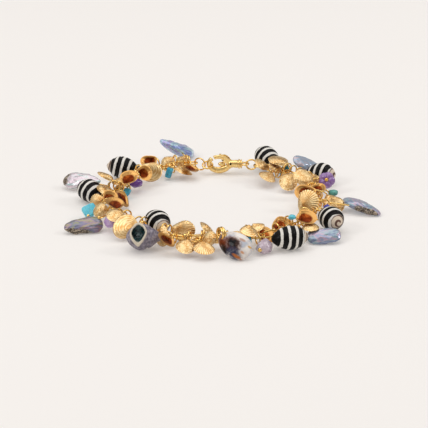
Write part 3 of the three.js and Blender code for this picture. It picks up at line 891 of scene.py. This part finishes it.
# The places and angles in these rows were found by search programs and not chosen by hand:
# report.md says which, under "Departures from the order".
CHARMS = [
    dict(name="shell_striped_1", kind="snail", link=4, along=0.9, side=0, swing=40),
    dict(name="shell_striped_2", kind="snail", link=10, side=0, swing=-40),
    dict(name="shell_striped_3", kind="snail", link=17, along=-0.9, side=160, swing=155, turn=-85,
         reach=4.2),
    dict(name="shell_striped_4", kind="snail", link=28, along=-0.9, side=20, swing=-20, turn=88,
         reach=4, form=dict(length=13.6)),
    dict(name="shell_striped_5", kind="snail", link=32, side=20, swing=-40, dip=-5, reach=6),
    dict(name="shell_striped_6", kind="snail", link=40, side=0, swing=-30, turn=-30, reach=5),
    dict(name="shell_striped_7", kind="snail", link=43, side=0, swing=70, dip=-5),
    dict(name="pearl_1", kind="pearl", link=0, side=0, swing=5, roll=30, turn=105, reach=10.5,
         form=dict(length=18.4, width=7.6, thick=4.6, waist=0.25, bow=-0.4), paint="blue pearl"),
    dict(name="pearl_2", kind="pearl", link=8, side=0, swing=-10, dip=0, roll=-30, turn=10,
         reach=11.8, form=dict(length=16, width=7, taper=-0.35, pitted=0), paint="silver pearl"),
    dict(name="pearl_3", kind="pearl", link=14, along=-0.9, side=20, swing=5, roll=-30, turn=-20,
         reach=10.5, form=dict(length=14, width=6.5, taper=0.2, square=3, pitted=60),
         beads=[(-6.4, 0, 0.6)], paint="olive pearl"),
    dict(name="pearl_4", kind="pearl", link=30, along=0.9, side=40, swing=-15, roll=20, turn=60,
         reach=9, form=dict(length=12, width=6.5, square=3.4), beads=[(-5.9, -0.8, 0.4)],
         paint="blue-grey pearl"),
    dict(name="pearl_5", kind="pearl", link=34, side=20, swing=20, roll=5, turn=-40, reach=12.6,
         form=dict(length=15.5, width=7, taper=0.2, pitted=-60), beads=[(-0.5, 2.9, 0.6)],
         paint="blue-grey pearl"),
    dict(name="pearl_6", kind="pearl", link=41, side=0, swing=10, dip=5, roll=40, turn=-40,
         reach=7.5, form=dict(length=14, width=7, square=2.6), paint="pink-grey pearl"),
    dict(name="turquoise_1", kind="tube", link=2, along=0.9, side=160, swing=90, dip=70,
         paint="turquoise"),
    dict(name="turquoise_2", kind="turquoise", link=8, side=180, swing=40, dip=30,
         form=dict(size=(5, 4.4, 3.4)), paint="turquoise"),
    dict(name="turquoise_3", kind="chip", link=12, along=0.9, side=0, swing=5, dip=5, roll=-40,
         turn=20, reach=4.5, pin=True, form=dict(size=(5.2, 4.6, 1.8)), beads=[(1.2, 2.2, 0.3)],
         paint="pale turquoise"),
    dict(name="turquoise_4", kind="chip", link=25, side=10, swing=-10, dip=60, reach=1.5,
         form=dict(size=(3, 2.8, 2.8), skew=0), paint="turquoise"),
    dict(name="turquoise_6", kind="turquoise", link=36, along=-0.9, side=20, swing=-15, dip=-10,
         reach=1.6, form=dict(size=(3.8, 3.2, 2.6)), paint="green turquoise"),
    dict(name="turquoise_7", kind="chip", link=42, side=10, swing=105, dip=40, reach=2.2,
         form=dict(size=(4.4, 3, 2.4)), paint="teal"),
    dict(name="lapis_1", kind="lapis", link=33, along=0.9, side=10, swing=-40, dip=15,
         form=dict(size=(3.2, 2.8, 2.4)), paint="lapis"),
    dict(name="amethyst_1", kind="nugget", link=7, along=0.9, side=180, swing=-105, dip=20,
         form=dict(size=(6.4, 4.4, 4)), paint="dark amethyst"),
    dict(name="amethyst_2", kind="nugget", link=15, along=-0.9, side=0, swing=-20, dip=20,
         reach=2.5, form=dict(size=(5.6, 5.2, 4.6)), beads=[(-2.8, 0, 0.6)],
         paint="light amethyst"),
    dict(name="amethyst_3", kind="nugget", link=26, along=-0.9, side=0, swing=15, reach=2.8,
         form=dict(size=(5.6, 6.2, 4.8)), beads=[(1, -3, 0.3)], paint="clear amethyst"),
    dict(name="amethyst_4", kind="flower", link=38, side=45, swing=-30, dip=3, roll=60, reach=2.8,
         beads=[(0, 0, 1.2), (0, 0, -1.2)], paint="lilac amethyst"),
    dict(name="shell_cowrie", kind="cowrie", link=23, along=0.9, side=20, swing=55, roll=50),
    dict(name="shell_turban", kind="turban", link=18, side=5, swing=35, turn=90,
         form=dict(length=13.4)),
    fan("fan_1", link=1, along=0.9, side=15, swing=90, dip=43, roll=-45, radius=3.1),
    fan("fan_2", link=2, along=-0.9, side=165, swing=-120, dip=19, roll=-5, radius=3.6),
    fan("fan_4", link=5, side=120, swing=-150, dip=27, roll=55, radius=4.1, style="grown"),
    fan("fan_6", link=9, along=-0.9, side=150, swing=-120, dip=-29, roll=-165, radius=3.4),
    fan("fan_7", link=9, side=75, swing=-30, dip=-21, roll=20, radius=3.4),
    fan("fan_8", link=10, along=-0.9, side=180, swing=75, dip=-5, roll=125, radius=3.8),
    fan("fan_9", link=14, along=0.9, side=75, swing=-105, dip=-13, roll=-165, radius=3.7),
    fan("fan_12", link=17, along=0.9, side=0, swing=-60, dip=-5, roll=-55, radius=4.6,
        style="grown"),
    fan("fan_13", link=19, side=60, swing=15, dip=67, roll=30, radius=3.6),
    fan("fan_14", link=19, along=0.9, side=180, swing=120, dip=11, roll=45, radius=4.2,
        style="ribbed"),
    fan("fan_15", link=21, side=0, dip=19, roll=-5, radius=3.5),
    fan("fan_16", link=22, along=-0.9, side=15, swing=30, dip=11, radius=3.7, style="ribbed"),
    fan("fan_17", link=22, side=105, swing=165, dip=19, roll=35, radius=3.6),
    fan("fan_18", link=24, along=-0.9, side=180, swing=60, dip=11, roll=30, radius=3.2,
        style="grown"),
    fan("fan_19", link=26, along=0.9, side=180, swing=60, dip=19, roll=-160, radius=3.8),
    fan("fan_20", link=28, side=180, swing=75, dip=11, roll=-145, radius=4.4, style="grown"),
    fan("fan_22", link=29, along=0.9, side=45, swing=60, dip=-5, roll=-155, radius=3.6, reach=3.55),
    fan("fan_23", link=32, along=-0.9, side=150, swing=60, dip=-37, roll=35, radius=4.2,
        style="ribbed"),
    fan("fan_24", link=35, side=15, swing=-45, dip=35, roll=25, radius=4),
    fan("fan_25", link=35, along=-0.9, side=120, swing=-165, dip=11, roll=145, radius=3.8,
        reach=3.5),
    fan("fan_26", link=40, along=-0.9, side=120, swing=-165, dip=35, roll=-20, radius=3.8),
    fan("fan_27", link=42, along=0.9, side=180, swing=-165, dip=-5, roll=-20, radius=3.7),
    fan("fan_28", link=41, along=0.9, side=120, swing=90, dip=-13, radius=3.9),
    dict(name="turquoise_5", kind="turquoise", link=29, along=-0.9, side=90, dip=-10, reach=1.6,
         form=dict(size=(3.2, 2.6, 2)), paint="pale turquoise"),
    fan("small_fan_1", link=3, side=75, swing=90, dip=19, roll=145, radius=3.2),
    fan("small_fan_2", link=0, along=0.9, side=165, swing=165, dip=3, roll=160, radius=3.2),
    fan("small_fan_3", link=0, along=0.9, side=30, swing=105, dip=51, roll=-35, radius=2.8),
    fan("small_fan_4", link=6, along=-0.9, side=105, swing=-150, dip=11, roll=-125, radius=3),
    fan("small_fan_5", link=8, along=-0.9, side=105, swing=45, dip=3, roll=-5, radius=2.6),
    fan("small_fan_6", link=11, side=0, swing=-15, dip=27, roll=-75, radius=2.9, style="ribbed"),
    fan("small_fan_7", link=13, along=0.9, side=0, swing=-30, dip=3, roll=-50, radius=2.8),
    fan("small_fan_8", link=15, along=0.9, side=60, dip=3, roll=-20, radius=3.4),
    fan("small_fan_9", link=20, side=15, swing=-15, dip=-13, roll=145, radius=3.5),
    fan("small_fan_10", link=23, side=15, swing=-105, dip=11, roll=-55, radius=2.8),
    fan("small_fan_11", link=25, along=0.9, side=105, dip=11, roll=-10, radius=3.2, style="grown"),
    fan("small_fan_12", link=26, along=-0.9, side=135, swing=30, dip=-13, roll=20, radius=2.6),
    fan("small_fan_13", link=30, along=-0.9, side=30, swing=-30, dip=3, roll=5, radius=3),
    fan("small_fan_14", link=37, along=-0.9, side=165, swing=105, dip=-45, roll=-5, radius=3.8),
    fan("small_fan_15", link=43, along=-0.9, side=180, swing=135, dip=-37, roll=-20, radius=3.2),
    fan("small_fan_16", link=36, along=0.9, side=105, swing=-45, dip=3, roll=-160, radius=3),
    fan("small_fan_17", link=39, side=30, swing=-75, dip=51, roll=30, radius=2.8),
    fan("small_fan_18", link=11, along=-0.9, side=30, swing=-90, dip=-13, roll=15, radius=3,
        style="ribbed"),
    fan("small_fan_19", link=12, along=-0.9, side=45, swing=-150, dip=-13, roll=-145, radius=2.8),
    fan("small_fan_20", link=16, along=-0.9, side=180, swing=45, dip=27, roll=-10, radius=2.6),
    fan("small_fan_21", link=22, along=-0.9, side=180, swing=-30, dip=27, roll=-25, radius=2.6,
        style="ribbed"),
    fan("small_fan_23", link=42, along=-0.9, side=165, swing=45, dip=-37, roll=15, radius=2.6),
]
print(len(CHARMS), "charms")

# %% [markdown]
# ## Hang the charms
# Jump rings, head pins and pin balls are small and all alike, so they are gathered into one mesh.
# A charm that rests on the surface drops about its ring's far side until its lowest point
# touches: the dip is found by halving a range, as the solid's was.

# %% Findings and resting
PIN_WIRE = 0.3
BEAD_RADIUS = 0.75
STEEPEST_UP = -50
STEEPEST_DOWN = 70
HALVINGS = 30
findings = bmesh.new()


def resting_dip(row, points, eye):
    high, low = STEEPEST_UP, STEEPEST_DOWN
    for step in range(HALVINGS):
        dip = (high + low) / 2
        matrix = np.array(hang_frame(row, eye, dip))
        if (points @ matrix[2, :3] + matrix[2, 3]).min() > 0:
            high = dip
        else:
            low = dip
    return high


def bead(at, matrix):
    bm = bmesh.new()
    bmesh.ops.create_uvsphere(bm, u_segments=16, v_segments=10, radius=BEAD_RADIUS)
    bmesh.ops.translate(bm, vec=at, verts=bm.verts)
    absorb(findings, bm, matrix)


def hang(row):
    kind = KINDS[row["kind"]]
    centre, eye = ring_place(row["link"], row.get("along", 0), row["side"])
    reach = row.get("reach", kind.get("reach"))
    bm = stamp(kind["make"](**row.get("form", {})))
    set_out = moved(reach) @ turned(row.get("turn", 0), "Z")
    bmesh.ops.transform(bm, matrix=set_out, verts=bm.verts)
    dip = row.get("dip")
    if dip is None:
        points = np.array([vert.co[:] for vert in bm.verts])
        dip = resting_dip(row, points, eye)
    place = hang_frame(row, eye, dip)
    row["place"] = place
    if row.get("pin", kind.get("pin")):
        along = moved(reach / 2) @ turned(90, "Y")
        absorb(findings, rod(PIN_WIRE, reach, 10, along), place)
    for at in row.get("beads", ()):
        bead(Vector(at) + Vector((reach, 0, 0)), place)
    upright = link_frame(row["link"]) @ moved(*centre) @ turned(-row["side"], "Y") @ turned(90, "X")
    absorb(findings, torus(RING_RADIUS, RING_WIRE), upright)
    if row["kind"] == "fan":
        paints = [fan_paints[row["form"]["style"]], fan_paints["inside"]]
    elif row["kind"] in shell_paints:
        paints = [shell_paints[row["kind"]]]
    else:
        paints = [gem_paints[row["paint"]]]
    nodes = [row["name"]] if row["name"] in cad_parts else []
    smooth = kind.get("smooth", 0)
    piece(row["name"] + "_finished", bm, place, paints, nodes, subdivide=smooth)


for row in CHARMS:
    hang(row)

# %% [markdown]
# The spotted shell hangs by two thick rings side by side, which pass through its narrow end and
# stand up from it.

# %% Thick rings
BAIL_RADIUS = 2
BAIL_WIRE = 0.46
BAIL_RISE = 1.4
BAIL_TWIST = 30
BAIL_APART = 0.42
bail_mesh = bmesh.new()
spotted = next(row for row in CHARMS if row["name"] == "shell_cowrie")
through = spotted["place"] @ Vector((0.7, 0, 0.4))
for apart in (-BAIL_APART, BAIL_APART):
    middle = moved(through.x, through.y, through.z + BAIL_RISE)
    upright = middle @ turned(BAIL_TWIST, "Z") @ moved(apart) @ turned(90, "Y")
    absorb(bail_mesh, torus(BAIL_RADIUS, BAIL_WIRE, 40, 14), upright)
piece("spotted_shell_rings", bail_mesh, Matrix(), [chain_gold])

# %% [markdown]
# ## The chain
# A cable chain turns every second link by a quarter turn. One link is a torus whose two halves
# are pulled apart along the chain, and it is set down again at each station round the loop.

# %% Links
chain_mesh = bmesh.new()
for link in range(LINK_COUNT):
    bm = torus(LINK_HALF_WIDTH, LINK_WIRE, around=32, sides=10)
    for vert in bm.verts:
        vert.co.y += (LINK_HALF_LENGTH - LINK_HALF_WIDTH) * math.tanh(4 * vert.co.y)
    absorb(chain_mesh, bm, link_frame(link) @ turned(90 * (link % 2), "Y"))
piece("cable_chain", chain_mesh, Matrix(), [chain_gold], ["chain"])
piece("jump_rings_and_pins", findings, Matrix(), [chain_gold])

# %% Rings at the claw
RINGS = {
    "hook_ring": dict(radius=1.95, wire=0.33, at=(-3.05, 34.6, 3.7), tilt=25, twist=0),
    "side_ring": dict(radius=2.38, wire=0.28, at=(-6.08, 35.93, 3.6), tilt=90, twist=-31),
    "end_ring": dict(radius=2, wire=0.33, at=(13.97, 34.56, 3.9), tilt=90, twist=0),
}
for name, ring in RINGS.items():
    place = LOOP @ moved(*ring["at"]) @ turned(ring["twist"], "Z") @ turned(ring["tilt"], "X")
    bm = torus(ring["radius"], ring["wire"], 40, 14)
    piece(name + "_finished", bm, place, [chain_gold], [name])

# %% [markdown]
# ## The lobster claw
# The claw is cast in two pieces. The body is the hook, the turned neck with its collar and the
# end ring. The lever is pinned between two cheeks on the hook's upper side, and a hidden spring
# holds its tip against the hook. The hook's round section is spun to an arc, then the arc is
# squashed to the hoop's oval.

# %% Hoop arcs
HOOP_HALF_LENGTH = 3.95
HOOP_HALF_HEIGHT = 2.85
HOOP_MEAN = 3.4
ROUNDED = 3
LEVER_ROOM = 35
LEVER_FADE = 40


def hoop_point(turn):
    along = HOOP_HALF_LENGTH * math.cos(math.radians(turn))
    return Vector((along, 0, HOOP_HALF_HEIGHT * math.sin(math.radians(turn))))


def hoop_arc(start, end, wire, steps=64, slim=0, deeper=(0, 0), flat=9):
    """A rod round the hoop from one angle to the other, with rounded ends.

    slim is how much thinner it is opposite the neck, and flat is the most that it may stand out
    sideways. deeper is how much deeper it is inwards, far from the neck and next to it. Near each
    end it isn't deeper at all, which leaves room for the lever to swing."""
    bm = bmesh.new()
    first = turned(-start, "Y") @ moved(HOOP_MEAN)
    bmesh.ops.create_circle(bm, radius=wire, segments=20, matrix=first)
    sweep = -math.radians(end - start)
    bmesh.ops.spin(bm, geom=bm.edges[:], axis=(0, 1, 0), angle=sweep, steps=steps)
    for vert in bm.verts:
        turn = math.degrees(math.atan2(vert.co.z, vert.co.x)) % 360
        if turn < start - 1:
            turn += 360
        inset = min(turn - start, end - turn)
        close = 1 - clamp(inset / ROUNDED)
        out = Vector((math.cos(math.radians(turn)), 0, math.sin(math.radians(turn))))
        thick = math.sqrt(max(0, 1 - close * close)) * (1 - slim * max(0, -out.x))
        offset = (vert.co.dot(out) - HOOP_MEAN) * thick
        if offset < 0:
            more = deeper[0] + (deeper[1] - deeper[0]) * max(0, out.x) ** 2
            offset *= 1 + more * clamp((inset - LEVER_ROOM) / LEVER_FADE)
        side = min(flat, max(-flat, vert.co.y * thick))
        vert.co = hoop_point(turn) + out * offset + Vector((0, side, 0))
    bmesh.ops.remove_doubles(bm, verts=bm.verts, dist=1e-4)
    bmesh.ops.recalc_face_normals(bm, faces=bm.faces)
    return bm


def lathe_x(profile, steps=40):
    """A profile of (x, radius) rows spun about X."""
    bm = bmesh.new()
    bmesh.ops.create_grid(bm, x_segments=len(profile) - 1, y_segments=1, size=1)
    rows = sorted(bm.verts, key=lambda vert: (vert.co.y, vert.co.x))
    bmesh.ops.delete(bm, geom=rows[len(profile) :], context="VERTS")
    for vert, (along, radius) in zip(rows, profile):
        vert.co = (along, 0, radius)
    bmesh.ops.spin(
        bm, geom=bm.edges[:], axis=(1, 0, 0), angle=math.tau, steps=steps, use_merge=True
    )
    bmesh.ops.remove_doubles(bm, verts=bm.verts, dist=1e-4)
    bmesh.ops.recalc_face_normals(bm, faces=bm.faces)
    return bm


# %% Claw body
HOOK_TIP = 130
HOOK_WIRE = 1.05
HOOP_END = 30
LEVER_PIVOT = 60
CHEEK_AT = 1
RIVET_RADIUS = 0.25
RIVET_LENGTH = 2.6
pivot = hoop_point(LEVER_PIVOT)
foot = hoop_point(HOOP_END)
claw_place = LOOP @ moved(*CLAW)

claw_mesh = hoop_arc(HOOK_TIP, 360 + HOOP_END, HOOK_WIRE, slim=0.22, deeper=(0.5, 0.9))
NECK = [
    (3.3, 0), (3.5, 1.1), (3.9, 1.7), (4.3, 1.9), (4.7, 1.84),
    (4.95, 1.5), (5.1, 1.5), (5.6, 1.48), (6.8, 1.56), (7.2, 1.58),
    (7.4, 1.3), (7.6, 1.76), (7.9, 1.95), (8.2, 1.76), (8.35, 1.2),
    (8.5, 1.7), (8.75, 1.86), (9, 1.65), (9.1, 0.9), (9.2, 0),
]
absorb(claw_mesh, lathe_x(NECK))
absorb(claw_mesh, torus(1.4, 0.38, 36, 12), moved(10.1))
lean = math.degrees(math.atan2(pivot.z - foot.z, foot.x - pivot.x))
middle = (pivot + foot) / 2
for side in (-CHEEK_AT, CHEEK_AT):
    cheek = rod(1, 1, 32, turned(90, "X"))
    corners = [edge for edge in cheek.edges if abs(edge.verts[0].co.y - edge.verts[1].co.y) < 0.1]
    bevel(cheek, corners, 0.25, 3)
    bmesh.ops.scale(cheek, vec=(2.1, 0.46, 1.25), verts=cheek.verts)
    absorb(claw_mesh, cheek, moved(middle.x, side, middle.z) @ turned(lean, "Y"))
absorb(claw_mesh, rod(RIVET_RADIUS, RIVET_LENGTH, 16, turned(90, "X")), moved(*pivot))
tongue = ball(32, 20)
bmesh.ops.scale(tongue, vec=(1.4, 0.8, 0.9), verts=tongue.verts)
absorb(claw_mesh, tongue, moved(1.1, 0, -0.1))
stamp(claw_mesh)
piece("claw_body_finished", claw_mesh, claw_place, [claw_gold], ["clasp_body"])

# %% Claw lever
LEVER_ROOT = 49
LEVER_TIP = 119.8
LEVER_WIRE = 0.8
lever_mesh = hoop_arc(LEVER_ROOT, LEVER_TIP, LEVER_WIRE, steps=36, flat=0.7)
thumb = bmesh.new()
bmesh.ops.create_cube(thumb, size=1)
bevel(thumb, thumb.edges[:], 0.2, 3)
bmesh.ops.scale(thumb, vec=(0.9, 0.9, 1), verts=thumb.verts)
absorb(lever_mesh, thumb, moved(0.6, 0, HOOP_HALF_HEIGHT + 0.75))
stamp(lever_mesh)
nodes = ["clasp_lever"]
piece("claw_lever_finished", lever_mesh, claw_place, [claw_gold], nodes, "lever")

# %% [markdown]
# ## Floor, light and camera
# A pale floor under large soft lights gives the faint shadows of a shop's light table, which also
# glows a little itself. The metal needs something darker between the lights to mirror, so the
# surroundings stay dimmer than the floor and the lamps do most of the lighting.

# %% Floor
floor_mesh = bmesh.new()
bmesh.ops.create_grid(floor_mesh, x_segments=1, y_segments=1, size=3)
mesh = bpy.data.meshes.new("floor")
floor_mesh.to_mesh(mesh)
floor_mesh.free()
floor = bpy.data.objects.new("floor", mesh)
bpy.context.collection.objects.link(floor)
floor_paint = Paint(
    "pale floor",
    Base_Color=colour(213, 210, 207),
    Roughness=0.9,
    Specular_IOR_Level=0.1,
    Emission_Color=colour(244, 239, 235),
    Emission_Strength=0.25,
)
mesh.materials.append(floor_paint.material)


# %% Lamps and surroundings
def lamp(name, at, size, watts):
    light = bpy.data.lights.new(name, "AREA")
    light.shape = "DISK"
    light.size = size
    light.energy = watts
    obj = bpy.data.objects.new(name, light)
    obj.location = at
    obj.rotation_euler = (-Vector(at)).to_track_quat("-Z", "Y").to_euler()
    bpy.context.collection.objects.link(obj)


lamp("overhead", (-0.1, 0.15, 1.3), 1.9, 11.2)
lamp("left", (-0.9, -0.5, 0.8), 0.4, 3)
lamp("right", (0.9, 0.1, 0.7), 0.3, 2)
world = bpy.data.worlds.new("studio")
world.use_nodes = True
world.node_tree.nodes["Background"].inputs["Color"].default_value = colour(236, 232, 228)
world.node_tree.nodes["Background"].inputs["Strength"].default_value = 0.5
bpy.context.scene.world = world
bpy.context.scene.view_settings.view_transform = "Standard"

# %% Camera
ELEVATION = 22
DISTANCE = 600
look_at = (LOOP @ Vector((0, 0, 4))) * MM
rise = math.radians(ELEVATION)
away = Vector((0, -math.cos(rise), math.sin(rise))) * DISTANCE * MM
camera = bpy.data.cameras.new("camera")
camera.lens = 136.4
camera.sensor_width = 36
camera.shift_x = -0.0035
camera.shift_y = -0.03855
camera.clip_start = 0.01
view = bpy.data.objects.new("camera", camera)
view.location = look_at + away
view.rotation_euler = (math.radians(90 - ELEVATION), 0, 0)
bpy.context.collection.objects.link(view)
bpy.context.scene.camera = view
